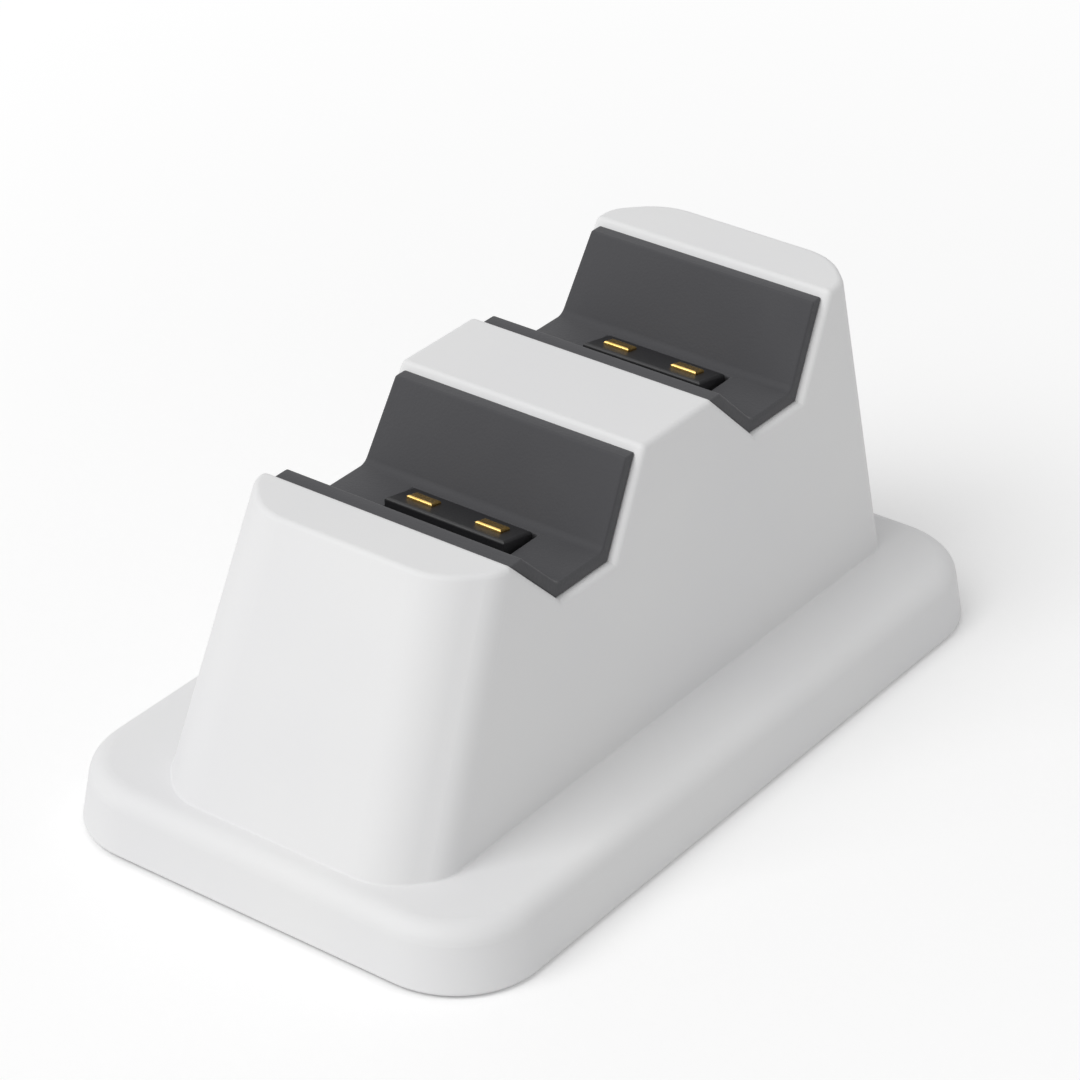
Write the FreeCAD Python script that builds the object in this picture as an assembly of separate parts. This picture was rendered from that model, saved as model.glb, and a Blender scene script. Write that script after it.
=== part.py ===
"""Desk stand that holds two game controllers one behind the other and charges them.

Millimetres, +Z up, +Y to the back, +X to the right seen from the front.
The origin is on the surface that the feet stand on, under the middle of the base.
"""
import FreeCAD, Part
import math
import os

from FreeCAD import Vector

# Base: a low slab with rounded corners, a slightly leaning skirt and a softly rounded top edge
base_width = 70.0
base_top = 9.3
base_corner = 12.5
base_edge = 2.8
base_roof = 2.0
skirt_lean = 7.0
skirt_edge = 0.4

# Column: a tapered block on the base, set between flat strips in front and behind
column_foot_width = 44.2
side_lean = 3.9
front_lean = 23.4
rear_lean = 9.7
front_strip = 1.2
rear_strip = 1.2
corner_front_round = 9.5
corner_side_round = 4.8
corner_past_lip = 0.6
foot_crease = 0.3
wall = 2.4

# Seats: two troughs across the column, the rear one a step higher
lip_height = 44.9
lip_depth = 7.7
lip_edge = 0.9
seat_pitch = 42.8
seat_rise = 4.0
seat_drop = 9.3
seat_slope = 44.3
seat_floor = 11.0
seat_lean = 29.0
rest_depth = 9.2

# Soft liners that lie in the seats
liner_thickness = 1.8
liner_margin = 0.2
liner_bend = 1.6
liner_edge = 0.5

# Bottom cover and the feet let into it
cover_thickness = 1.5
cover_gap = 0.3
foot_diameter = 13.0
foot_thickness = 1.2
foot_proud = 0.4
foot_inset = 13.5
foot_edge = 0.3
foot_clearance = 0.1

# Steel plate that weighs the base down
ballast_thickness = 3.2
ballast_corner = 4.0
ballast_wall_gap = 1.0
ballast_setback = 16.0
ballast_board_gap = 8.0
ballast_hole_inset = 7.0

# Countersunk screws of the cover and of the steel plate
screw_diameter = 2.5
screw_head = 4.6
screw_sink = 0.1
screw_clearance = 0.05
cover_screw_length = 5.2
ballast_screw_length = 4.2
recess_length = 2.6
recess_width = 0.7
recess_depth = 0.8
pilot_spare = 0.5
boss_diameter = 6.0
boss_ballast_gap = 2.0
boss_foot_gap = 2.0

# Contact blocks with two blades each, and the boards that carry them under the seat floors
block_depth = 6.0
block_setback = 2.2
block_tilt = 12.0
block_proud = 0.5
block_edge = 0.4
block_boss_gap = 1.5
block_clearance = 0.2
liner_clearance = 0.5
blade_width = 4.0
blade_thickness = 2.0
blade_inset = 2.0
blade_proud = 0.5
blade_edge = 0.3
contact_board_gap = 2.2
contact_board_width = 11.0
contact_board_thickness = 1.2
contact_boss_diameter = 4.4
contact_boss_length = 4.0
contact_screw_diameter = 2.0
contact_screw_head = 3.6
contact_screw_head_height = 1.3
contact_screw_length = 6.0
contact_screw_inset = 2.7

# Main board on the cover, and what stands on it
board_thickness = 0.8
board_pad_height = 0.3
board_pad_diameter = 6.6
board_edge = 4.0
board_wall_gap = 0.4
part_row_setback = 12.5
chip_size = 5.0
chip_height = 1.0
chip_spacing = 38.0
coil_size = 6.2
coil_height = 2.8
coil_round = 1.2
coil_spacing = 22.0
capacitor_diameter = 5.0
capacitor_height = 5.4
capacitor_spacing = 7.0

# Power inlet in the back of the skirt
inlet_width = 8.9
inlet_height = 3.2
inlet_length = 7.4
inlet_wall = 0.3
inlet_back = 0.8
inlet_recess = 0.3
inlet_clearance = 0.15
tongue_width = 6.6
tongue_thickness = 0.7
tongue_length = 4.8

# Leads from the contact boards, along the steel plate, to sockets on the main board
lead_diameter = 2.2
lead_bend = 8.0
lead_run = 3.0
lead_spacing = 12.0
socket_width = 6.0
socket_length = 5.0
socket_wall = 1.0


def tangent(degrees):
    """Tangent of an angle in degrees."""
    return math.tan(math.radians(degrees))


def cosine(degrees):
    """Cosine of an angle in degrees."""
    return math.cos(math.radians(degrees))


# Heights that follow from the stack of pieces
skirt_low = foot_proud
cover_top = skirt_low + cover_thickness
roof_low = base_top - base_roof
board_low = cover_top + board_pad_height
board_top = board_low + board_thickness
ballast_top = cover_top + ballast_thickness
rest_height = lip_height + 2 * seat_rise


def skirt_inset(height):
    """How far the leaning skirt stands in from its lower edge at a height."""
    return (height - skirt_low) * tangent(skirt_lean)


# Corners of the column: flat slants with rounded edges, which end just past the front lip
slant_share = tangent(45 / 2)
slant_loss = 2 - math.sqrt(2)
corner_cut = (lip_depth + corner_past_lip) * cosine(front_lean) - corner_side_round * slant_share

# Depth of the base: front strip, leaning front, lip, two seats, rear rest, leaning rear, rear strip
edge_inset = skirt_inset(base_top) + base_edge * tangent((90 - skirt_lean) / 2)
front_ledge = edge_inset + front_strip
rear_ledge = edge_inset + rear_strip
slope_run = seat_drop / tangent(seat_slope)
back_run = (seat_drop + seat_rise) * tangent(seat_lean)
first_lip = front_ledge + (lip_height - base_top) * tangent(front_lean) + lip_depth
rest_rear = first_lip + seat_pitch + slope_run + seat_floor + back_run + rest_depth
base_depth = rest_rear + (rest_height - base_top) * tangent(rear_lean) + rear_ledge
base_front = -base_depth / 2
base_rear = base_depth / 2
outside = base_width + base_depth

# Places of the screws, the steel plate and the main board
boss_setback = foot_inset + foot_diameter / 2 + boss_foot_gap + screw_head / 2
ballast_half_width = column_foot_width / 2 - wall - ballast_wall_gap
boss_x = ballast_half_width + boss_ballast_gap + boss_diameter / 2
boss_front = base_front + boss_setback
boss_rear = base_rear - boss_setback
board_half_width = boss_x + board_edge
board_inset = wall + board_wall_gap + skirt_inset(board_top)
board_front = boss_rear - board_edge
board_rear = base_rear - board_inset
inlet_rear = base_rear - skirt_inset(board_top + inlet_height) - inlet_recess
part_row = base_rear - part_row_setback
ballast_front = base_front + ballast_setback
ballast_rear = board_front - ballast_board_gap
lead_level = ballast_top + lead_diameter / 2


def rounded_outline(half_width, front, rear, radius, height):
    """Closed outline on a level plane: a rectangle with four rounded corners."""
    turns = []
    for quarter in range(4):
        side = 1 if quarter < 2 else -1
        along = rear - radius if quarter in (1, 2) else front + radius
        centre = Vector(side * (half_width - radius), along, height)
        turn = []
        for angle in (-90, -45, 0):
            bearing = math.radians(angle + 90 * quarter)
            turn.append(centre + Vector(math.cos(bearing), math.sin(bearing), 0) * radius)
        turns.append(turn)
    edges = []
    for index, turn in enumerate(turns):
        edges.append(Part.LineSegment(turns[index - 1][2], turn[0]).toShape())
        edges.append(Part.Arc(*turn).toShape())
    return Part.Wire(edges)


def rounded_slab(half_width, front, rear, radius, low, high):
    """Upright slab with a rounded outline."""
    outline = rounded_outline(half_width, front, rear, radius, low)
    return Part.Face(outline).extrude(Vector(0, 0, high - low))


def level_box(width, length, low, high, middle_x, middle_y):
    """Box that is centred on a point in plan."""
    corner = Vector(middle_x - width / 2, middle_y - length / 2, low)
    return Part.makeBox(width, length, high - low, corner)


def upright(diameter, low, high, middle_x, middle_y):
    """Upright round bar or bore."""
    return Part.makeCylinder(diameter / 2, high - low, Vector(middle_x, middle_y, low))


def side_prism(points, left, right):
    """Prism across the stand from a closed outline of (y, z) points."""
    corners = [Vector(left, y, z) for y, z in points]
    face = Part.Face(Part.makePolygon(corners + corners[:1]))
    return face.extrude(Vector(right - left, 0, 0))


def whole(shape):
    """The one solid that a shape holds."""
    (solid,) = shape.removeSplitter().Solids
    return solid


def edges_where(shape, test):
    """Edges of a shape whose middle point passes a test."""
    chosen = []
    for edge in shape.Edges:
        middle = edge.valueAt((edge.FirstParameter + edge.LastParameter) / 2)
        if test(middle):
            chosen.append(edge)
    return chosen


def close(value, other):
    """True where two sizes are the same to a thousandth of a millimetre."""
    return abs(value - other) < 0.001


def crossing(first, second):
    """Point where two lines meet in the side view, each given by two points."""
    (y0, z0), (y1, z1) = first
    (y2, z2), (y3, z3) = second
    run, rise = y1 - y0, z1 - z0
    other_run, other_rise = y3 - y2, z3 - z2
    share = ((y2 - y0) * other_rise - (z2 - z0) * other_run) / (run * other_rise - rise * other_run)
    return (y0 + share * run, z0 + share * rise)


def parallel(points, distance):
    """Line of (y, z) points moved upwards off another by a distance, with mitred corners."""
    runs = []
    for (y0, z0), (y1, z1) in zip(points, points[1:]):
        length = math.hypot(y1 - y0, z1 - z0)
        shift_y = -(z1 - z0) / length * distance
        shift_z = (y1 - y0) / length * distance
        runs.append(((y0 + shift_y, z0 + shift_z), (y1 + shift_y, z1 + shift_z)))
    corners = [crossing(before, after) for before, after in zip(runs, runs[1:])]
    return [runs[0][0]] + corners + [runs[-1][1]]


def tapered_block(plan, low, high):
    """Block with leaning sides, from its half width, front and rear at a height."""
    low_half, low_front, low_rear = plan(low)
    high_half, high_front, high_rear = plan(high)
    block = Part.makeWedge(-low_half, low, -low_rear, -high_rear, -high_half,
                           low_half, high, -low_front, -high_front, high_half)
    return block.rotate(Vector(0, 0, 0), Vector(1, 0, 0), 90)


def base_block(inset, low, high):
    """Block of the base with a leaning skirt, drawn in on all sides by an inset."""

    def plan(height):
        """Half width, front and rear of the skirt at a height."""
        drawn = inset + skirt_inset(height)
        return base_width / 2 - drawn, base_front + drawn, base_rear - drawn

    block = tapered_block(plan, low, high)
    middle = (low + high) / 2
    return block.makeFillet(base_corner - inset, edges_where(block, lambda point: close(point.z, middle)))


def column_half_width(height):
    """Half the column's width at a height."""
    return column_foot_width / 2 - (height - base_top) * tangent(side_lean)


def column_block(inset, low, high):
    """Block of the column with slanted and rounded corners, drawn in on all sides by an inset."""
    middle = (low + high) / 2

    def plan(height):
        """Half width, front and rear of the column at a height."""
        front = base_front + front_ledge + (height - base_top) * tangent(front_lean)
        rear = base_rear - rear_ledge - (height - base_top) * tangent(rear_lean)
        return column_half_width(height) - inset, front + inset, rear - inset

    def at_side(point):
        """True at the middle of the upright edges of the two side faces."""
        return close(point.z, middle) and close(abs(point.x), plan(middle)[0])

    def at_end(point):
        """True at the middle of the upright edges of the front and the rear face."""
        return close(point.z, middle) and any(close(point.y, end) for end in plan(middle)[1:])

    block = tapered_block(plan, low, high)
    block = block.makeChamfer(corner_cut - inset * slant_loss, edges_where(block, at_side))
    block = block.makeFillet(corner_side_round - inset, edges_where(block, at_side))
    return block.makeFillet(corner_front_round - inset, edges_where(block, at_end))


def seat_line(seat):
    """Trough of one seat in the side view: lip, valley, end of the floor, top of the back."""
    lip_y = base_front + first_lip + seat * seat_pitch
    lip_z = lip_height + seat * seat_rise
    floor_z = lip_z - seat_drop
    valley_y = lip_y + slope_run
    back_y = valley_y + seat_floor
    return [(lip_y, lip_z), (valley_y, floor_z), (back_y, floor_z), (back_y + back_run, lip_z + seat_rise)]


def below(line, low):
    """Closed side outline from a line down to a level."""
    return line + [(line[-1][0], low), (line[0][0], low)]


# Top of the column in the side view, from far in front to far behind
skyline = [(-outside, lip_height)] + seat_line(0) + seat_line(1) + [(outside, rest_height)]


def seat_floor_height(seat):
    """Height of a seat's bare floor."""
    return seat_line(seat)[1][1]


def contact_board_top(seat):
    """Height of the upper face of a seat's contact board."""
    return seat_floor_height(seat) - wall - contact_boss_length


def block_front(seat):
    """Front face of a seat's contact block."""
    return seat_line(seat)[1][0] + block_setback


def block_middle(seat):
    """Middle of a seat's contact block, front to back."""
    return block_front(seat) + block_depth / 2


# Widths under the seats, from the narrower rear one
contact_board_half = column_half_width(contact_board_top(1)) - wall - contact_board_gap
contact_screw_x = contact_board_half - contact_screw_inset
block_half_width = contact_screw_x - contact_boss_diameter / 2 - block_boss_gap
blade_x = block_half_width - blade_inset - blade_width / 2


def contact_screw_places(seat):
    """Two screw places in plan, one at each end of a seat's contact board."""
    return [(side * contact_screw_x, block_middle(seat)) for side in (-1, 1)]


def block_top(seat, y):
    """Height of the contact block's tilted upper face at a place."""
    rear = block_front(seat) + block_depth
    return seat_floor_height(seat) + liner_thickness + block_proud + (rear - y) * tangent(block_tilt)


def base_slab():
    """Outer form of the base, its top edge softly rounded and its lower edge just broken."""
    slab = base_block(0, skirt_low, base_top)
    slab = slab.makeFillet(base_edge, edges_where(slab, lambda point: close(point.z, base_top)))
    return slab.makeFillet(skirt_edge, edges_where(slab, lambda point: close(point.z, skirt_low)))


def column_outside():
    """Outer form of the column with both troughs, every edge of its top rounded."""
    block = column_block(0, roof_low, rest_height + wall)
    block = block.common(side_prism(below(skyline, 0), -outside, outside))
    valleys = [corner for seat in (0, 1) for corner in seat_line(seat)[1:3]]
    lips = [lip_height, lip_height + seat_rise, rest_height]

    def on_top(point):
        """True on the level tops and along both ends of the troughs."""
        if any(close(point.y, y) and close(point.z, z) for y, z in valleys):
            return False
        if any(close(point.z, height) for height in lips):
            return True
        at_side = close(abs(point.x), column_half_width(point.z))
        return at_side and first_lip < point.y - base_front < rest_rear

    return block.makeFillet(lip_edge, edges_where(block, on_top))


def moulding():
    """Base and column as one outer form with a small crease where they meet."""
    form = whole(base_slab().fuse(column_outside()))

    def at_foot(point):
        """True where the column stands on the base's flat top."""
        inside_x = abs(point.x) < base_width / 2 - edge_inset - foot_crease / 2
        inside_y = abs(point.y) < base_depth / 2 - edge_inset - foot_crease / 2
        return close(point.z, base_top) and inside_x and inside_y

    return form.makeFillet(foot_crease, edges_where(form, at_foot))


def hollow():
    """Room inside the moulding, open below."""
    room = base_block(wall, 0, roof_low)
    shaft = column_block(wall, roof_low - base_roof, rest_height)
    return room.fuse(shaft.common(side_prism(below(parallel(skyline, -wall), 0), -outside, outside)))


def screw_places(front, rear, half_spacing):
    """Four screw places in plan, two in front and two behind."""
    return [(side * half_spacing, y) for y in (front, rear) for side in (-1, 1)]


cover_screw_places = screw_places(boss_front, boss_rear, boss_x)
ballast_screw_places = screw_places(ballast_front + ballast_hole_inset, ballast_rear - ballast_hole_inset,
                                    ballast_half_width - ballast_hole_inset)


def countersunk_hole(x, y, high):
    """Hole for a countersunk screw, up from the underside of the cover."""
    head_rise = (screw_head - screw_diameter) / 2
    wide = screw_head / 2 + screw_sink + screw_clearance
    narrow = screw_diameter / 2 + screw_clearance
    cone = Part.makeCone(wide, narrow, head_rise + screw_sink, Vector(x, y, skirt_low))
    return cone.fuse(upright(2 * narrow, skirt_low, high, x, y))


def countersunk_screw(x, y, length):
    """Screw with a flat head flush in the cover and a cross recess."""
    low = skirt_low + screw_sink
    head_rise = (screw_head - screw_diameter) / 2
    screw = Part.makeCone(screw_head / 2, screw_diameter / 2, head_rise, Vector(x, y, low))
    screw = screw.fuse(upright(screw_diameter, low, low + length, x, y))
    for width, depth in ((recess_length, recess_width), (recess_width, recess_length)):
        screw = screw.cut(level_box(width, depth, low, low + recess_depth, x, y))
    return whole(screw)


def cover_bosses():
    """Four bosses under the base's roof for the cover's screws, the rear two short of the board."""
    bosses = []
    for x, y in cover_screw_places:
        seat = board_top if y > 0 else cover_top
        bosses.append(upright(boss_diameter, seat, roof_low + base_roof / 2, x, y))
    return bosses


def contact_bosses(seat):
    """Two bosses under a seat floor that carry its contact board."""
    low = contact_board_top(seat)
    high = seat_floor_height(seat) - wall / 2
    return [upright(contact_boss_diameter, low, high, x, y) for x, y in contact_screw_places(seat)]


def contact_pilots(seat):
    """Bores for the screws in those bosses."""
    low = contact_board_top(seat)
    high = low - contact_board_thickness + contact_screw_length + pilot_spare
    bore = contact_screw_diameter + 2 * screw_clearance
    return [upright(bore, low, high, x, y) for x, y in contact_screw_places(seat)]


def block_window(seat, clearance):
    """Upright window that lets a contact block through, with room all round."""
    low = seat_floor_height(seat) - 2 * wall
    high = lip_height + seat * seat_rise
    return level_box(2 * (block_half_width + clearance), block_depth + 2 * clearance, low, high,
                     0, block_middle(seat))


def inlet_form(inset, front, rear):
    """Flat-sided round-ended bar along the inlet's axis, drawn in by an inset."""
    height = inlet_height - 2 * inset
    reach = (inlet_width - inlet_height) / 2
    middle_z = board_top + inlet_height / 2
    bar = Part.makeBox(2 * reach, rear - front, height, Vector(-reach, front, middle_z - height / 2))
    for side in (-1, 1):
        end = Vector(side * reach, front, middle_z)
        bar = bar.fuse(Part.makeCylinder(height / 2, rear - front, end, Vector(0, 1, 0)))
    return whole(bar)


def housing():
    """White moulding: base and column in one shell, with its bosses, windows and inlet opening."""
    shell = moulding().cut(hollow())
    bosses = cover_bosses() + contact_bosses(0) + contact_bosses(1)
    shell = shell.fuse(bosses)
    pilot_high = skirt_low + screw_sink + cover_screw_length + pilot_spare
    bore = screw_diameter + 2 * screw_clearance
    cuts = [upright(bore, cover_top, pilot_high, x, y) for x, y in cover_screw_places]
    cuts += contact_pilots(0) + contact_pilots(1)
    cuts += [block_window(seat, block_clearance) for seat in (0, 1)]
    cuts.append(inlet_form(-inlet_clearance, inlet_rear - inlet_length, base_rear + wall))
    return whole(shell.cut(cuts))


def bottom_cover():
    """Plate that closes the base from below, with seats for the feet and screws."""
    inset = wall + cover_gap + skirt_inset(cover_top)
    plate = rounded_slab(base_width / 2 - inset, base_front + inset, base_rear - inset, base_corner - inset,
                         skirt_low, cover_top)
    pad_places = [place for place in cover_screw_places if place[1] > 0]
    pads = [upright(board_pad_diameter, cover_top, board_low, x, y) for x, y in pad_places]
    plate = plate.fuse(pads)
    recess = foot_diameter + 2 * foot_clearance
    cuts = [upright(recess, skirt_low, foot_thickness, x, y) for x, y in foot_places.values()]
    cuts += [countersunk_hole(x, y, board_low) for x, y in cover_screw_places + ballast_screw_places]
    return whole(plate.cut(cuts))


foot_places = {}
for row, foot_y in (("front", base_front + foot_inset), ("rear", base_rear - foot_inset)):
    for side_name, foot_side in (("left", -1), ("right", 1)):
        foot_places[f"foot_{row}_{side_name}"] = (foot_side * (base_width / 2 - foot_inset), foot_y)


def foot(x, y):
    """Round soft foot with a softened lower edge."""
    disc = upright(foot_diameter, 0, foot_thickness, x, y)
    return disc.makeFillet(foot_edge, edges_where(disc, lambda point: close(point.z, 0)))


def ballast_plate():
    """Steel plate on the cover, with four tapped holes."""
    plate = rounded_slab(ballast_half_width, ballast_front, ballast_rear, ballast_corner,
                         cover_top, ballast_top)
    bore = screw_diameter + 2 * screw_clearance
    holes = [upright(bore, cover_top, ballast_top, x, y) for x, y in ballast_screw_places]
    return whole(plate.cut(holes))


def seat_liner(seat):
    """Rubber sheet bent to the trough, stopping short of its rounded edges."""
    line = seat_line(seat)
    upper = parallel(line, liner_thickness)
    low_end = line[0][1] - lip_edge
    high_end = line[3][1] - lip_edge

    def at_level(first, second, height):
        """Point of a line at a height."""
        return crossing((first, second), ((0, height), (1, height)))

    under = [at_level(line[0], line[1], low_end), line[1], line[2], at_level(line[2], line[3], high_end)]
    over = [at_level(upper[0], upper[1], low_end), upper[1], upper[2], at_level(upper[2], upper[3], high_end)]
    liner = side_prism(under + over[::-1], -outside, outside)
    liner = liner.common(column_block(lip_edge + liner_margin, roof_low, rest_height + wall))

    def along(corners):
        """Test for the edges that run across the stand through some corners."""
        return lambda point: any(close(point.y, y) and close(point.z, z) for y, z in corners)

    liner = whole(liner).makeFillet(liner_bend, edges_where(liner, along(over[1:3])))
    liner = liner.makeFillet(liner_edge, edges_where(liner, along(over[::3])))
    return whole(liner.cut(block_window(seat, liner_clearance)))


def contact_blade(seat, side):
    """Fixed contact: an upright blade whose tilted top stands just above its block."""
    front = block_middle(seat) - blade_thickness / 2
    rear = block_middle(seat) + blade_thickness / 2
    low = contact_board_top(seat)
    outline = [(front, low), (rear, low), (rear, block_top(seat, rear) + blade_proud),
               (front, block_top(seat, front) + blade_proud)]
    left = side * blade_x - blade_width / 2
    blade = side_prism(outline, left, left + blade_width)
    return blade.makeFillet(blade_edge, edges_where(blade, lambda point: point.z > block_top(seat, point.y)))


def contact_block(seat):
    """Block that stands on the contact board, rises through the seat floor and grips both blades."""
    front = block_front(seat)
    rear = front + block_depth
    low = contact_board_top(seat)
    outline = [(front, low), (rear, low), (rear, block_top(seat, rear)), (front, block_top(seat, front))]
    block = side_prism(outline, -block_half_width, block_half_width)
    upper = edges_where(block, lambda point: point.z > seat_floor_height(seat) + liner_thickness)
    block = block.makeFillet(block_edge, upper)
    for side in (-1, 1):
        block = block.cut(contact_blade(seat, side))
    return whole(block)


def contact_board(seat):
    """Small board screwed under a seat floor."""
    high = contact_board_top(seat)
    low = high - contact_board_thickness
    board = level_box(2 * contact_board_half, contact_board_width, low, high, 0, block_middle(seat))
    bore = contact_screw_diameter + 2 * screw_clearance
    holes = [upright(bore, low, high, x, y) for x, y in contact_screw_places(seat)]
    return whole(board.cut(holes))


def contact_screws(seat):
    """Two round-headed screws that hold a contact board to its bosses from below."""
    low = contact_board_top(seat) - contact_board_thickness
    screws = []
    for x, y in contact_screw_places(seat):
        head = upright(contact_screw_head, low - contact_screw_head_height, low, x, y)
        shank = upright(contact_screw_diameter, low, low + contact_screw_length, x, y)
        screws.append(whole(head.fuse(shank)))
    return screws


def main_board():
    """Board that lies on the cover's pads and carries the inlet, held by the two rear screws."""
    board = rounded_slab(base_width / 2 - board_inset, base_front + board_inset, board_rear,
                         base_corner - board_inset, board_low, board_top)
    length = board_rear - board_front
    middle_y = board_front + length / 2
    board = board.common(level_box(2 * board_half_width, length, board_low, board_top, 0, middle_y))
    bore = screw_diameter + 2 * screw_clearance
    holes = [upright(bore, board_low, board_top, side * boss_x, boss_rear) for side in (-1, 1)]
    return whole(board.cut(holes))


def row_places(spacing):
    """Two places in the row of parts on the main board, an equal way left and right of its middle."""
    return [(side * spacing / 2, part_row) for side in (-1, 1)]


def charge_chips():
    """Two flat chips at the ends of the row of parts."""
    high = board_top + chip_height
    return [level_box(chip_size, chip_size, board_top, high, x, y) for x, y in row_places(chip_spacing)]


def coils():
    """Two square coils with rounded corners, one for each seat."""
    high = board_top + coil_height
    pieces = []
    for x, y in row_places(coil_spacing):
        coil = level_box(coil_size, coil_size, board_top, high, x, y)
        uprights = edges_where(coil, lambda point: close(point.z, (board_top + high) / 2))
        pieces.append(coil.makeFillet(coil_round, uprights))
    return pieces


def capacitors():
    """Two round capacitors in the middle of the row."""
    high = board_top + capacitor_height
    return [upright(capacitor_diameter, board_top, high, x, y) for x, y in row_places(capacitor_spacing)]


def inlet_shell():
    """Metal shell of the power inlet, closed at its inner end."""
    front = inlet_rear - inlet_length
    cavity = inlet_form(inlet_wall, front + inlet_back, inlet_rear)
    return whole(inlet_form(0, front, inlet_rear).cut(cavity))


def inlet_tongue():
    """Flat tongue that stands on the inner end of the inlet."""
    front = inlet_rear - inlet_length + inlet_back
    middle_z = board_top + inlet_height / 2
    low = middle_z - tongue_thickness / 2
    return level_box(tongue_width, tongue_length, low, low + tongue_thickness, 0, front + tongue_length / 2)


socket_front = block_middle(1) + lead_bend + lead_run


def lead_sockets():
    """Two sockets on the main board that face the leads."""
    high = lead_level + lead_diameter / 2 + socket_wall
    middle_y = socket_front + socket_length / 2
    return [level_box(socket_width, socket_length, board_top, high, side * lead_spacing / 2, middle_y)
            for side in (-1, 1)]


def lead(seat, side):
    """Round lead: down from a contact board, one bend, then along the steel plate to its socket."""
    x = side * lead_spacing / 2
    y = block_middle(seat)
    top = Vector(x, y, contact_board_top(seat) - contact_board_thickness)
    bend_start = Vector(x, y, lead_level + lead_bend)
    chord = lead_bend * (1 - math.sqrt(0.5))
    bend_middle = Vector(x, y + chord, lead_level + chord)
    bend_end = Vector(x, y + lead_bend, lead_level)
    end = Vector(x, socket_front, lead_level)
    path = Part.Wire([
        Part.LineSegment(top, bend_start).toShape(),
        Part.Arc(bend_start, bend_middle, bend_end).toShape(),
        Part.LineSegment(bend_end, end).toShape(),
    ])
    section = Part.Wire(Part.makeCircle(lead_diameter / 2, top, Vector(0, 0, -1)))
    return whole(path.makePipeShell([section], True, False))


def group(pieces):
    """Several separate solids kept in one node."""
    return Part.makeCompound(pieces)


nodes = {
    "housing": housing(),
    "bottom_cover": bottom_cover(),
    "ballast_plate": ballast_plate(),
    "main_board": main_board(),
    "charge_chips": group(charge_chips()),
    "coils": group(coils()),
    "capacitors": group(capacitors()),
    "lead_sockets": group(lead_sockets()),
    "inlet_shell": inlet_shell(),
    "inlet_tongue": inlet_tongue(),
    "cover_screws": group([countersunk_screw(x, y, cover_screw_length) for x, y in cover_screw_places]),
    "ballast_screws": group([countersunk_screw(x, y, ballast_screw_length) for x, y in ballast_screw_places]),
}
for foot_name, foot_place in foot_places.items():
    nodes[foot_name] = foot(*foot_place)
for seat_name, seat_index, lead_side in (("front", 0, -1), ("rear", 1, 1)):
    nodes[f"{seat_name}_seat_liner"] = seat_liner(seat_index)
    nodes[f"{seat_name}_contact_block"] = contact_block(seat_index)
    nodes[f"{seat_name}_contact_left"] = contact_blade(seat_index, -1)
    nodes[f"{seat_name}_contact_right"] = contact_blade(seat_index, 1)
    nodes[f"{seat_name}_contact_board"] = contact_board(seat_index)
    nodes[f"{seat_name}_contact_screws"] = group(contact_screws(seat_index))
    nodes[f"{seat_name}_lead"] = lead(seat_index, lead_side)

os.makedirs("parts", exist_ok=True)
for node, shape in nodes.items():
    shape.exportStep(f"parts/{node}.step")
    box = shape.BoundBox
    print(f"{node}: {len(shape.Solids)} solid, {shape.Volume:.1f} mm3, valid {shape.isValid()}, "
          f"{box.XLength:.2f} x {box.YLength:.2f} x {box.ZLength:.2f} mm")
print(f"base depth {base_depth:.2f} mm, lead bend {lead_bend:.1f} mm")
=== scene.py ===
# %% [markdown]
# # A desk stand for two game controllers
#
# This lesson dresses a stand of white moulded plastic: a low base with rounded corners, a tapered column
# and two soft-lined seats one behind the other. The measured pieces already exist as a fixed frame, in
# metres, with the origin on the desk under the middle of the base. The lesson gives each of them its
# finish, remakes the soft pieces as rounded meshes, and sets up the floor, the light and the camera.

# %% Load the frame
import math

import bmesh
import bpy
from mathutils import Matrix, Vector


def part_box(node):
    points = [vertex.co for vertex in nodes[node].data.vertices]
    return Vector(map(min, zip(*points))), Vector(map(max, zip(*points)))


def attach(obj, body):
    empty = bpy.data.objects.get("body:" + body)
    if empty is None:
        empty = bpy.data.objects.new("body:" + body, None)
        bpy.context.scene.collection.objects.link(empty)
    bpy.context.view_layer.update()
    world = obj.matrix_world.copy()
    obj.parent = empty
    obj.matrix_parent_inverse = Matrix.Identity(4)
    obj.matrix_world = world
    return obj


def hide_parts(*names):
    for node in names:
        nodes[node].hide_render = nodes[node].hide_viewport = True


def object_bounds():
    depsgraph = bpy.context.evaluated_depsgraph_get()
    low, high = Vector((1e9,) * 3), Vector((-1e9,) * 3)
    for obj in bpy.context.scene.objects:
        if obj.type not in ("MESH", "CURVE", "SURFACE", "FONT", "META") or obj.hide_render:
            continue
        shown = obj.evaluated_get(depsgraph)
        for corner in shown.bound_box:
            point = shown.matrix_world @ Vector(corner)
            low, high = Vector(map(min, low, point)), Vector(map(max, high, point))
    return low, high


MILLIMETRE = 0.001

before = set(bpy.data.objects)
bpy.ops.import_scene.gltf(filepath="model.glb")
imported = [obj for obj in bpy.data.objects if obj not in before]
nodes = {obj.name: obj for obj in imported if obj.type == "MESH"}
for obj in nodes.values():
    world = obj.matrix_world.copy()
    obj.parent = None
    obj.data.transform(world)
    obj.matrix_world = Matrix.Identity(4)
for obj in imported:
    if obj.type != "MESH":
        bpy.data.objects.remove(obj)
cad_low, cad_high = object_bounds()
print("nodes in the frame:", len(nodes))
print("size of the stand in mm:", [round(side / MILLIMETRE, 1) for side in cad_high - cad_low])

# %% [markdown]
# ## The camera
#
# A picture is taken from a place, and the place sets the perspective: how fast the base narrows towards
# the back and how much of the tops can be seen. A camera could be placed by hand in the viewport. Here it
# is put at a bearing, a height and a distance around the middle of the stand, because those three numbers
# say how a person would stand and look at it: half a metre away, rather to the right of its front,
# looking down at it.

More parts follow.
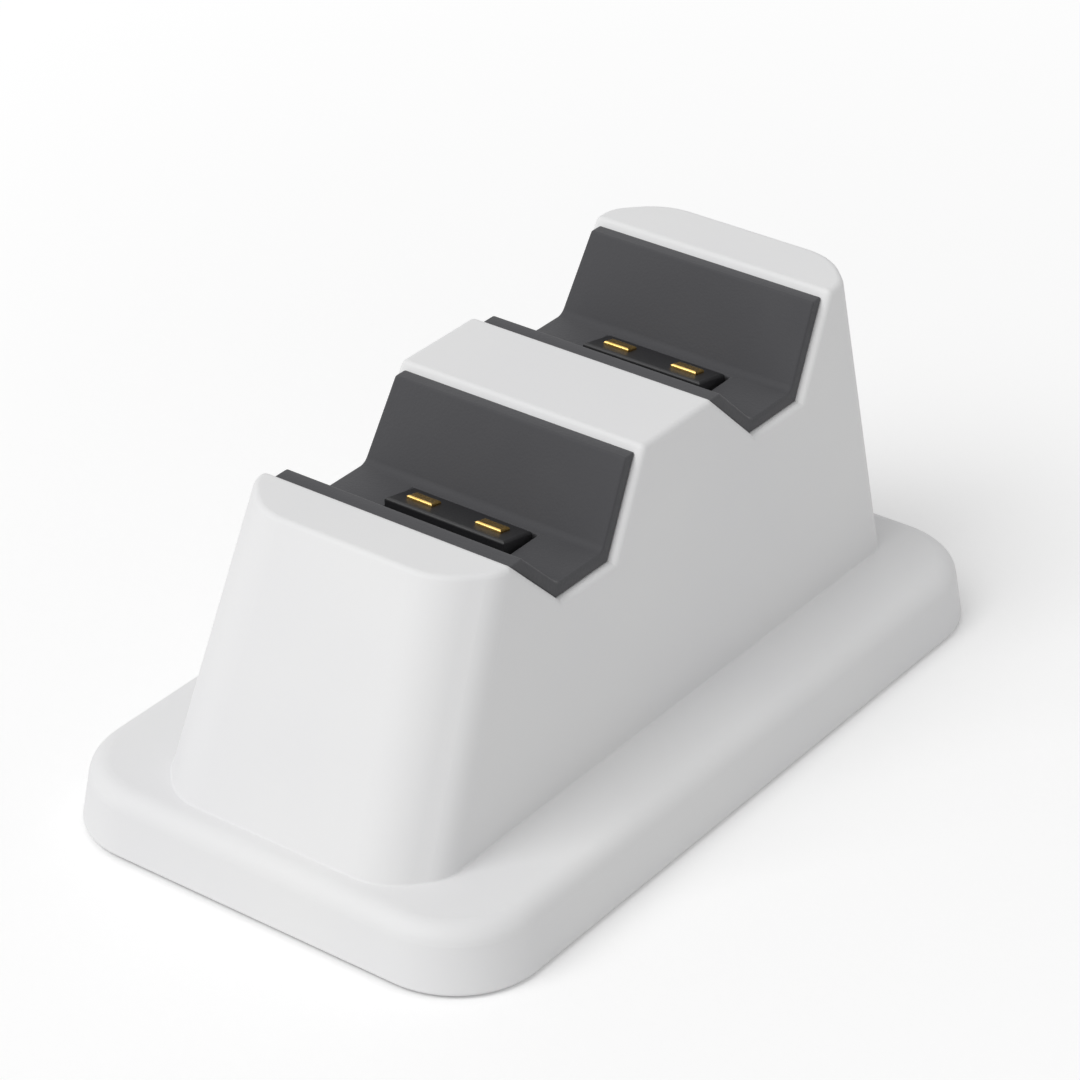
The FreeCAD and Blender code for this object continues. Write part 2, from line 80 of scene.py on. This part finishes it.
# %% Place the camera
CAMERA_BEARING = math.radians(36.6)
CAMERA_HEIGHT = math.radians(30.7)
CAMERA_DISTANCE = 0.515
LENS = 131.0


def placed(name, data):
    """New object that shows some data, put into the scene."""
    thing = bpy.data.objects.new(name, data)
    bpy.context.scene.collection.objects.link(thing)
    return thing


def around(bearing, height, distance, middle):
    """Point seen from a middle at a bearing to the right of the front, a height angle and a distance."""
    level = math.cos(height)
    towards = Vector((math.sin(bearing) * level, -math.cos(bearing) * level, math.sin(height)))
    return middle + towards * distance


def look_at(thing, target):
    """Turns a camera or lamp so that it faces a point."""
    thing.rotation_euler = (target - thing.location).to_track_quat("-Z", "Y").to_euler()


middle = (cad_low + cad_high) / 2
camera = placed("camera", bpy.data.cameras.new("camera"))
camera.location = around(CAMERA_BEARING, CAMERA_HEIGHT, CAMERA_DISTANCE, middle)
camera.data.lens = LENS
look_at(camera, middle)
bpy.context.scene.camera = camera
print("camera at", [round(value, 3) for value in camera.location])

# %% [markdown]
# ## Numbers inside a material
#
# A material is a tree of small nodes, and numbers flow through it: a distance, a tone, a share of light.
# One helper joins two numbers by arithmetic, and one carries a number from one range over to another. The
# third gives one where the camera sees a surface and zero where light only bounces off it. With that, the
# floor and the room can look white without lighting the stand any more.

# %% Helpers for numbers


def combined(tree, operation, first, second):
    """Two numbers put together by a sum, a product or the like."""
    node = tree.nodes.new("ShaderNodeMath")
    node.operation = operation
    tree.links.new(first, node.inputs[0])
    tree.links.new(second, node.inputs[1])
    return node.outputs[0]


def slope(tree, value, start, end, low, high):
    """Number that goes from low to high while a value goes from start to end."""
    level = tree.nodes.new("ShaderNodeMapRange")
    level.inputs["From Min"].default_value = start
    level.inputs["From Max"].default_value = end
    level.inputs["To Min"].default_value = low
    level.inputs["To Max"].default_value = high
    tree.links.new(value, level.inputs["Value"])
    return level.outputs[0]


def seen_directly(tree):
    """One where a ray comes from the camera, or from the camera by way of a shiny or clear surface."""
    path = tree.nodes.new("ShaderNodeLightPath")
    direct, mirrored, refracted = [
        path.outputs[f"Is {kind} Ray"] for kind in ("Camera", "Glossy", "Transmission")]
    return combined(tree, "MAXIMUM", direct, combined(tree, "MAXIMUM", mirrored, refracted))


print("number helpers:", [helper.__name__ for helper in (combined, slope, seen_directly)])

# %% [markdown]
# ## The floor
#
# The stand is shown on a seamless white sheet, as in a catalogue. A sheet lit until it is white would
# also flood the stand with light. Instead the floor is a pale matt surface, and what the camera sees of
# it, directly or in a shiny piece, is lifted by a little light of its own. Under the base there is no
# lift, and the lift comes back only over a short band round the base's outline. That band is painted
# shade: it keeps the narrow gap below the front edge and the ground along the base darker than the
# evenly lifted floor, on top of the real contact shadow there. The painted dark ground is drawn in a
# little at the sides, which lie in the stand's own shadow already. Around the stand the lift is small,
# so the soft shadow stays, and far away it is larger, because the lamp reaches less there.

# %% Lay the floor
FLOOR_HALF = 3.0
FLOOR_COLOUR = (0.92, 0.92, 0.92, 1)
LIFT_NEAR = 0.18
LIFT_FAR = 0.75
LIFT_END = 1.5
BASE_CORNER = 12.5 * MILLIMETRE
# Painted shade along the base: drawn in at the sides, fading in from inside the outline to outside it.
PAINTED_SHADE_INSET = 1.6 * MILLIMETRE
PAINTED_SHADE_INSIDE = 0.8 * MILLIMETRE
PAINTED_SHADE_OUTSIDE = 1.2 * MILLIMETRE


def distance_from(tree, core):
    """How far each point of the floor lies from a rectangle in the middle, given by half its sides."""
    reach = tree.nodes.new("ShaderNodeTexCoord").outputs["Object"]
    for operation, value in (("ABSOLUTE", (0, 0, 0)), ("SUBTRACT", core), ("MAXIMUM", (0, 0, 0))):
        step = tree.nodes.new("ShaderNodeVectorMath")
        step.operation = operation
        step.inputs[1].default_value = value
        tree.links.new(reach, step.inputs[0])
        reach = step.outputs["Vector"]
    length = tree.nodes.new("ShaderNodeVectorMath")
    length.operation = "LENGTH"
    tree.links.new(reach, length.inputs[0])
    return length.outputs["Value"]


def floor_lift(tree):
    """Floor's own light, none under the base (painted shade at its edge), little near it, more far off.
    """
    half = (cad_high - cad_low) / 2
    # Painted shade: the glow is held back in a band shaped to the base's outline.
    reach = distance_from(tree, (half.x - PAINTED_SHADE_INSET - BASE_CORNER, half.y - BASE_CORNER, 0))
    near = slope(tree, reach, BASE_CORNER - PAINTED_SHADE_INSIDE, BASE_CORNER + PAINTED_SHADE_OUTSIDE, 0, LIFT_NEAR)
    far = slope(tree, reach, 0, LIFT_END, 0, LIFT_FAR - LIFT_NEAR)
    return combined(tree, "MULTIPLY", seen_directly(tree), combined(tree, "ADD", near, far))


def white_sheet():
    """Matt pale floor that shows a little lighter than it is."""
    material = bpy.data.materials.new("white_sheet")
    material.use_nodes = True
    tree = material.node_tree
    tree.nodes.clear()
    matt = tree.nodes.new("ShaderNodeBsdfDiffuse")
    matt.inputs["Color"].default_value = FLOOR_COLOUR
    glow = tree.nodes.new("ShaderNodeEmission")
    tree.links.new(floor_lift(tree), glow.inputs["Strength"])
    both = tree.nodes.new("ShaderNodeAddShader")
    tree.links.new(matt.outputs[0], both.inputs[0])
    tree.links.new(glow.outputs[0], both.inputs[1])
    output = tree.nodes.new("ShaderNodeOutputMaterial")
    tree.links.new(both.outputs[0], output.inputs["Surface"])
    return material


def flat_square(name, half):
    """Square mesh on the floor's level."""
    mesh = bpy.data.meshes.new(name)
    corners = [(-half, -half, 0), (half, -half, 0), (half, half, 0), (-half, half, 0)]
    mesh.from_pydata(corners, [], [(0, 1, 2, 3)])
    return placed(name, mesh)


floor = flat_square("floor", FLOOR_HALF)
floor.data.materials.append(white_sheet())
print("floor is", 2 * FLOOR_HALF, "m wide")

# %% [markdown]
# ## The light
#
# Product photographs use one large soft lamp and a bright room. The lamp here stands in front, high up
# and a little to the left, so the front of the column is brightest, the tops come next and the right side
# falls into a light grey. The room is a plain world colour that fills the shadows.

# %% Hang the lamp and light the room
LAMP_BEARING = math.radians(-21)
LAMP_HEIGHT = math.radians(50)
LAMP_DISTANCE = 3.2
LAMP_SIZE = 2.2
LAMP_POWER = 52.0
ROOM_LIGHT = 0.48


def soft_lamp(name):
    """Square lamp that faces the stand."""
    lamp = placed(name, bpy.data.lights.new(name, "AREA"))
    lamp.data.size = LAMP_SIZE
    lamp.data.energy = LAMP_POWER
    lamp.location = around(LAMP_BEARING, LAMP_HEIGHT, LAMP_DISTANCE, middle)
    look_at(lamp, middle)


def plain_room(strength):
    """World that lights softly, and looks white where it is seen."""
    world = bpy.data.worlds.new("room")
    bpy.context.scene.world = world
    world.use_nodes = True
    tree = world.node_tree
    background = tree.nodes["Background"]
    background.inputs["Color"].default_value = (1, 1, 1, 1)
    level = slope(tree, seen_directly(tree), 0, 1, strength, 1)
    tree.links.new(level, background.inputs["Strength"])


soft_lamp("key_lamp")
plain_room(ROOM_LIGHT)
bpy.context.scene.view_settings.view_transform = "Standard"

# %% [markdown]
# ## What every finish is made of
#
# No real surface is one flat colour. Seen close, a moulded or plated piece changes a little in tone, in
# gloss and in height. Photographs of surfaces could be wrapped around the pieces. Here small patterns are
# worked out instead, from each point's place in metres, so a grain of a tenth of a millimetre is written
# as exactly that and needs no image. Three helpers turn a pattern into tone, gloss and relief.

# %% Helpers for the finishes
PATTERN_LOW = 0.3
PATTERN_HIGH = 0.7


def paint(red, green, blue):
    """Colour for a shader from the usual 0 to 255 values."""
    linear = []
    for value in (red, green, blue):
        share = value / 255
        linear.append(share / 12.92 if share <= 0.04045 else ((share + 0.055) / 1.055) ** 2.4)
    return (*linear, 1.0)


def new_finish(name):
    """New material: its node tree, its shader and the place of each point."""
    material = bpy.data.materials.new(name)
    material.use_nodes = True
    tree = material.node_tree
    place = tree.nodes.new("ShaderNodeTexCoord")
    return material, tree, tree.nodes["Principled BSDF"], place.outputs["Object"]


def speckle(tree, place, size, detail=2):
    """Cloudy pattern with blotches of about a size, in metres."""
    noise = tree.nodes.new("ShaderNodeTexNoise")
    noise.inputs["Scale"].default_value = 1 / size
    noise.inputs["Detail"].default_value = detail
    tree.links.new(place, noise.inputs["Vector"])
    return noise.outputs["Fac"]


def stretched(tree, place, along):
    """Places squeezed along each axis, so that a pattern is drawn out."""
    mapping = tree.nodes.new("ShaderNodeMapping")
    mapping.inputs["Scale"].default_value = along
    tree.links.new(place, mapping.inputs["Vector"])
    return mapping.outputs["Vector"]


def tone(tree, shader, pattern, dark, light):
    """Lets a pattern move the colour between two tones."""
    ramp = tree.nodes.new("ShaderNodeValToRGB")
    ramp.color_ramp.elements[0].position = PATTERN_LOW
    ramp.color_ramp.elements[1].position = PATTERN_HIGH
    ramp.color_ramp.elements[0].color = dark
    ramp.color_ramp.elements[1].color = light
    tree.links.new(pattern, ramp.inputs["Fac"])
    tree.links.new(ramp.outputs["Color"], shader.inputs["Base Color"])


def gloss(tree, shader, pattern, smooth, rough):
    """Lets a pattern move the roughness between two values."""
    level = slope(tree, pattern, PATTERN_LOW, PATTERN_HIGH, smooth, rough)
    tree.links.new(level, shader.inputs["Roughness"])


def relief(tree, shader, pattern, depth):
    """Lets a pattern raise and sink the surface by a depth, in metres."""
    bump = tree.nodes.new("ShaderNodeBump")
    bump.inputs["Distance"].default_value = depth
    tree.links.new(pattern, bump.inputs["Height"])
    tree.links.new(bump.outputs["Normal"], shader.inputs["Normal"])


print("white paint is", [round(value, 3) for value in paint(236, 236, 237)])

# %% [markdown]
# ## White moulded plastic
#
# The shell is one injection moulding in white ABS with a fine eroded texture from the mould, which gives
# a satin surface that spreads highlights and hides fingerprints. The texture is much finer than a pixel
# from a step away, so it is a shallow relief of a few micrometres and a slight change in gloss, with a
# hardly visible drift in the white.

# %% Finishes of the shell and the cover
SHELL_GRAIN = 0.25 * MILLIMETRE
SHELL_RELIEF = 0.004 * MILLIMETRE
TONE_DRIFT = 30 * MILLIMETRE
COVER_GRAIN = 0.5 * MILLIMETRE
COVER_RELIEF = 0.03 * MILLIMETRE


def satin_white():
    """White shell with a fine mould texture."""
    material, tree, shader, place = new_finish("satin_white_plastic")
    tone(tree, shader, speckle(tree, place, TONE_DRIFT), paint(235, 235, 236), paint(238, 238, 238))
    grain = speckle(tree, place, SHELL_GRAIN)
    gloss(tree, shader, grain, smooth=0.56, rough=0.66)
    relief(tree, shader, grain, SHELL_RELIEF)
    return material


def matt_cover():
    """Underside cover in a slightly greyer white with a coarser texture."""
    material, tree, shader, place = new_finish("matt_cover_plastic")
    grain = speckle(tree, place, COVER_GRAIN)
    tone(tree, shader, grain, paint(214, 214, 216), paint(222, 222, 223))
    gloss(tree, shader, grain, smooth=0.55, rough=0.7)
    relief(tree, shader, grain, COVER_RELIEF)
    return material


finishes = {"white_shell": satin_white(), "cover_plastic": matt_cover()}
print("finishes so far:", sorted(finishes))

# %% [markdown]
# ## Rubber
#
# The seats are lined with dark grey silicone rubber that keeps a controller from slipping and from being
# scratched, and the feet are a blacker rubber. Rubber is matt because its moulded skin is a fine stipple.
# A Voronoi pattern gives such a stipple: each cell is one small bump.

# %% Finishes of the liners and the feet
LINER_STIPPLE = 0.35 * MILLIMETRE
LINER_RELIEF = 0.02 * MILLIMETRE
FOOT_STIPPLE = 0.6 * MILLIMETRE
FOOT_RELIEF = 0.05 * MILLIMETRE
DUST_PATCH = 9 * MILLIMETRE
RUBBER_SHEEN = 0.15


def pimples(tree, place, size):
    """Stipple of small bumps, each about a size across."""
    cells = tree.nodes.new("ShaderNodeTexVoronoi")
    cells.feature = "SMOOTH_F1"
    cells.inputs["Scale"].default_value = 1 / size
    tree.links.new(place, cells.inputs["Vector"])
    return cells.outputs["Distance"]


def rubber(name, dark, light, stipple, depth):
    """Matt rubber with a moulded stipple and a faint change of tone."""
    material, tree, shader, place = new_finish(name)
    tone(tree, shader, speckle(tree, place, DUST_PATCH, detail=6), dark, light)
    gloss(tree, shader, speckle(tree, place, DUST_PATCH, detail=4), smooth=0.68, rough=0.82)
    relief(tree, shader, pimples(tree, place, stipple), depth)
    shader.inputs["Sheen Weight"].default_value = RUBBER_SHEEN
    return material


finishes["seat_rubber"] = rubber(
    "seat_rubber", paint(60, 60, 63), paint(68, 68, 71), LINER_STIPPLE, LINER_RELIEF)
finishes["foot_rubber"] = rubber(
    "foot_rubber", paint(44, 44, 46), paint(54, 54, 56), FOOT_STIPPLE, FOOT_RELIEF)
print("rubber stipple in mm:", LINER_STIPPLE / MILLIMETRE, FOOT_STIPPLE / MILLIMETRE)

# %% [markdown]
# ## Hard dark plastic
#
# The contact blocks, the inlet's tongue and the parts on the boards are small black mouldings, and the
# leads have a black sheath. They share one recipe with other tones and grains: a speck of lighter filler
# in the black, and a gloss that varies with it.

# %% Finishes of the dark plastics


def dark_plastic(name, dark, light, grain_size, depth, smooth, rough):
    """Black or grey moulding with a fine filler grain."""
    material, tree, shader, place = new_finish(name)
    grain = speckle(tree, place, grain_size, detail=3)
    tone(tree, shader, grain, dark, light)
    gloss(tree, shader, grain, smooth, rough)
    relief(tree, shader, grain, depth)
    return material


finishes["contact_plastic"] = dark_plastic(
    "contact_plastic", paint(26, 26, 28), paint(33, 33, 35),
    grain_size=0.3 * MILLIMETRE, depth=0.006 * MILLIMETRE, smooth=0.4, rough=0.5)
finishes["tongue_plastic"] = dark_plastic(
    "tongue_plastic", paint(20, 20, 22), paint(28, 28, 30),
    grain_size=0.2 * MILLIMETRE, depth=0.004 * MILLIMETRE, smooth=0.35, rough=0.45)
finishes["component_resin"] = dark_plastic(
    "component_resin", paint(30, 30, 31), paint(46, 46, 47),
    grain_size=0.15 * MILLIMETRE, depth=0.008 * MILLIMETRE, smooth=0.6, rough=0.75)
finishes["lead_sheath"] = dark_plastic(
    "lead_sheath", paint(24, 24, 25), paint(34, 34, 35),
    grain_size=0.8 * MILLIMETRE, depth=0.01 * MILLIMETRE, smooth=0.45, rough=0.6)
print("finishes so far:", sorted(finishes))

# %% [markdown]
# ## Metal
#
# The contacts are brass plated with gold, the inlet's shell is nickel-plated steel, and the screws and
# the weight are zinc-plated. Metal has no colour under its shine, so the tone goes into the reflection.
# Rolling and drawing leave fine lines along the piece: a noise pattern squeezed along one axis draws
# them.

# %% Finishes of the metals
PLATING_CLOUD = 1.2 * MILLIMETRE
BRUSH_LINE = 0.06 * MILLIMETRE
BRUSH_DEPTH = 0.001 * MILLIMETRE
POLISHED_DEPTH = 0.0003 * MILLIMETRE


def plated(name, dark, light, smooth, rough, drawn=(1, 1, 1), depth=BRUSH_DEPTH):
    """Plated metal with fine lines drawn out along the axis that has the smallest number."""
    material, tree, shader, place = new_finish(name)
    shader.inputs["Metallic"].default_value = 1.0
    lines = speckle(tree, stretched(tree, place, drawn), BRUSH_LINE)
    tone(tree, shader, speckle(tree, place, PLATING_CLOUD), dark, light)
    gloss(tree, shader, lines, smooth, rough)
    relief(tree, shader, lines, depth)
    return material


finishes["contact_gold"] = plated(
    "contact_gold", paint(226, 184, 104), paint(240, 203, 128),
    smooth=0.18, rough=0.26, drawn=(0.05, 1, 1), depth=POLISHED_DEPTH)
finishes["inlet_steel"] = plated(
    "inlet_nickel", paint(186, 186, 188), paint(204, 204, 206),
    smooth=0.22, rough=0.34, drawn=(1, 0.05, 1))
finishes["screw_steel"] = plated(
    "screw_zinc", paint(168, 170, 174), paint(190, 191, 194), smooth=0.25, rough=0.4)
finishes["ballast_steel"] = plated(
    "ballast_zinc", paint(150, 152, 156), paint(176, 178, 181),
    smooth=0.3, rough=0.5, drawn=(1, 0.04, 1))
finishes["capacitor_can"] = plated(
    "capacitor_can", paint(196, 197, 199), paint(212, 212, 214),
    smooth=0.25, rough=0.36, drawn=(1, 1, 0.05))
print("finishes so far:", sorted(finishes))

# %% [markdown]
# ## Circuit board
#
# A board is glass cloth in resin under a green lacquer. The cloth shows through as a faint weave, and
# copper tracks under the lacquer as lighter paths. Two crossed waves make the weave, and a brick pattern
# stands for the tracks.

# %% Finish of the boards
WEAVE = 0.5 * MILLIMETRE
WEAVE_RELIEF = 0.002 * MILLIMETRE
TRACK = 1.6 * MILLIMETRE
TRACK_LINE = 0.12


def lacquered_board():
    """Green lacquer over copper tracks and woven glass cloth."""
    material, tree, shader, place = new_finish("board_lacquer")
    tracks = tree.nodes.new("ShaderNodeTexBrick")
    tracks.inputs["Scale"].default_value = 1 / TRACK
    tracks.inputs["Mortar Size"].default_value = TRACK_LINE
    tracks.inputs["Color1"].default_value = paint(18, 74, 46)
    tracks.inputs["Color2"].default_value = paint(20, 80, 50)
    tracks.inputs["Mortar"].default_value = paint(34, 108, 66)
    tree.links.new(place, tracks.inputs["Vector"])
    tree.links.new(tracks.outputs["Color"], shader.inputs["Base Color"])
    threads = []
    for direction in ("X", "Y"):
        wave = tree.nodes.new("ShaderNodeTexWave")
        wave.bands_direction = direction
        wave.inputs["Scale"].default_value = 1 / WEAVE
        tree.links.new(place, wave.inputs["Vector"])
        threads.append(wave.outputs["Fac"])
    weave = combined(tree, "MAXIMUM", *threads)
    gloss(tree, shader, weave, smooth=0.25, rough=0.35)
    relief(tree, shader, weave, WEAVE_RELIEF)
    return material


finishes["board_laminate"] = lacquered_board()
print("finishes in all:", len(finishes))

# %% [markdown]
# ## Dressing the measured pieces
#
# Most of the measured pieces already have their true form, so they only need a finish. The list below
# names the finish of each kind of piece, and a piece is matched by the end of its name, because the front
# and the rear seat hold the same pieces.

# %% Give each measured piece its finish
PIECE_FINISH = {
    "housing": "white_shell",
    "bottom_cover": "cover_plastic",
    "ballast_plate": "ballast_steel",
    "main_board": "board_laminate",
    "contact_board": "board_laminate",
    "charge_chips": "component_resin",
    "coils": "component_resin",
    "capacitors": "capacitor_can",
    "lead_sockets": "tongue_plastic",
    "inlet_shell": "inlet_steel",
    "inlet_tongue": "tongue_plastic",
    "screws": "screw_steel",
    "contact_block": "contact_plastic",
    "contact_left": "contact_gold",
    "contact_right": "contact_gold",
    "lead": "lead_sheath",
    "seat_liner": "seat_rubber",
}


def finish_name(node):
    """Finish of a measured piece, from the end of its name."""
    if node.startswith("foot_"):
        return "foot_rubber"
    return next(finish for ending, finish in PIECE_FINISH.items() if node.endswith(ending))


for name, piece in nodes.items():
    for slot in piece.material_slots:
        slot.material = finishes[finish_name(name)]
print("dressed", len(nodes), "measured pieces")

# %% [markdown]
# ## Seat liners
#
# Each liner is a strip of silicone moulded to the bend of its seat, with a window for the contact block.
# A moulded soft piece has no sharp edge anywhere. The measured liner gives the exact size and place, so
# it is copied, its flat faces are made whole again, and a bevel rounds every edge that is left.

# %% Make the soft liners
LINER_EDGE = 0.35 * MILLIMETRE
EDGE_STEPS = 4
EDGE_ANGLE = math.radians(35)
FLAT_ANGLE = math.radians(1)
SAME_POINT = 0.001 * MILLIMETRE


def piece_from(shape, name):
    """Object made from a shape that is built up and not needed afterwards."""
    mesh = bpy.data.meshes.new(name)
    shape.to_mesh(mesh)
    shape.free()
    return placed(name, mesh)


def softened_copy(node, name, edge):
    """Copy of a measured piece with whole flat faces and rounded edges."""
    shape = bmesh.new()
    shape.from_mesh(nodes[node].data)
    bmesh.ops.remove_doubles(shape, verts=shape.verts, dist=SAME_POINT)
    bmesh.ops.dissolve_limit(shape, angle_limit=FLAT_ANGLE, verts=shape.verts, edges=shape.edges)
    piece = piece_from(shape, name)
    piece.data.shade_smooth()
    rounding = piece.modifiers.new("rounding", "BEVEL")
    rounding.width = edge
    rounding.segments = EDGE_STEPS
    rounding.limit_method = "ANGLE"
    rounding.angle_limit = EDGE_ANGLE
    rounding.harden_normals = True
    return piece


for row in ("front", "rear"):
    liner = softened_copy(f"{row}_seat_liner", f"{row}_soft_liner", LINER_EDGE)
    liner.data.materials.append(finishes["seat_rubber"])
    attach(liner, "root")
    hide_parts(f"{row}_seat_liner")
    print(liner.name, "has", len(liner.data.polygons), "faces before rounding")

# %% [markdown]
# ## Feet
#
# Four rubber discs are pressed into round pockets of the cover and stand a little proud of it, so the
# stand doesn't slide. A moulded disc has a rounded lower edge and a shallow dish in the middle, which
# makes it grip by its rim. It is drawn as half a section and turned about an upright axis, the way a
# round piece is turned on a lathe. The dish's slope is given in shares of its radius and of its depth.

# %% Turn the feet
FOOT_ROUND = 0.45 * MILLIMETRE
FOOT_DISH = 0.2 * MILLIMETRE
FOOT_RIM = 2.0 * MILLIMETRE
DISH_SLOPE = ((0.7, 1.0), (0.9, 0.6), (1.0, 0.0))
ROUND_STEPS = 6
TURN_STEPS = 72
SHARP_ANGLE = math.radians(50)


def quarter_round(radius, middle_out, middle_up):
    """Points of a rounded lower edge, from its bottom to its side."""
    points = []
    for step in range(ROUND_STEPS + 1):
        angle = math.pi / 2 * step / ROUND_STEPS
        points.append((middle_out + math.sin(angle) * radius, middle_up - math.cos(angle) * radius))
    return points


def foot_section(radius, height):
    """Half a section through a foot: dish, rim, rounded edge, side and top."""
    dish = radius - FOOT_RIM
    section = [(0, FOOT_DISH)] + [(dish * out, FOOT_DISH * deep) for out, deep in DISH_SLOPE]
    section += quarter_round(FOOT_ROUND, radius - FOOT_ROUND, FOOT_ROUND)
    return section + [(radius, height), (0, height)]


def turned(name, section, place):
    """Solid that is made by turning a section about an upright axis through a place."""
    shape = bmesh.new()
    corners = [shape.verts.new((out, 0, up)) for out, up in section]
    edges = [shape.edges.new(pair) for pair in zip(corners, corners[1:])]
    bmesh.ops.spin(
        shape, geom=corners + edges, axis=(0, 0, 1), cent=(0, 0, 0), angle=math.tau, steps=TURN_STEPS)
    bmesh.ops.remove_doubles(shape, verts=shape.verts, dist=SAME_POINT)
    bmesh.ops.recalc_face_normals(shape, faces=shape.faces)
    bmesh.ops.translate(shape, verts=shape.verts, vec=place)
    piece = piece_from(shape, name)
    piece.data.shade_smooth()
    piece.data.set_sharp_from_angle(angle=SHARP_ANGLE)
    return piece


for node in [name for name in nodes if name.startswith("foot_")]:
    low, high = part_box(node)
    place = Vector(((low.x + high.x) / 2, (low.y + high.y) / 2, low.z))
    foot = turned(f"soft_{node}", foot_section((high.x - low.x) / 2, high.z - low.z), place)
    foot.data.materials.append(finishes["foot_rubber"])
    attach(foot, "root")
    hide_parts(node)
    print(foot.name, "has", len(foot.data.polygons), "faces")

# %% [markdown]
# ## Contacts of the inlet
#
# The tongue inside the power inlet carries a row of gold-plated contacts on its upper and its lower face.
# They are thin strips of stamped sheet, let into the moulding. Each is a small slab that stands a hair
# above the tongue, and the whole row is one mesh, because the strips are only seen together.

# %% Lay the contacts on the tongue
STRIP_COUNT = 12
STRIP_PITCH = 0.5 * MILLIMETRE
STRIP_WIDTH = 0.26 * MILLIMETRE
STRIP_PROUD = 0.02 * MILLIMETRE
STRIP_MARGIN = 0.5 * MILLIMETRE
STRIP_FACES = 6


def contact_strips(name, low, high):
    """Rows of strips on the upper and lower face of a tongue."""
    shape = bmesh.new()
    middle_y = (low.y + high.y - STRIP_MARGIN) / 2
    size = Vector((STRIP_WIDTH, high.y - STRIP_MARGIN - low.y, 2 * STRIP_PROUD))
    for face in (low.z, high.z):
        for index in range(STRIP_COUNT):
            across = (index - (STRIP_COUNT - 1) / 2) * STRIP_PITCH
            strip = Matrix.LocRotScale(Vector((across, middle_y, face)), None, size)
            bmesh.ops.create_cube(shape, size=1, matrix=strip)
    return piece_from(shape, name)


strips = contact_strips("tongue_contacts", *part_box("inlet_tongue"))
strips.data.materials.append(finishes["contact_gold"])
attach(strips, "root")
print("strips on the tongue:", len(strips.data.polygons) // STRIP_FACES)
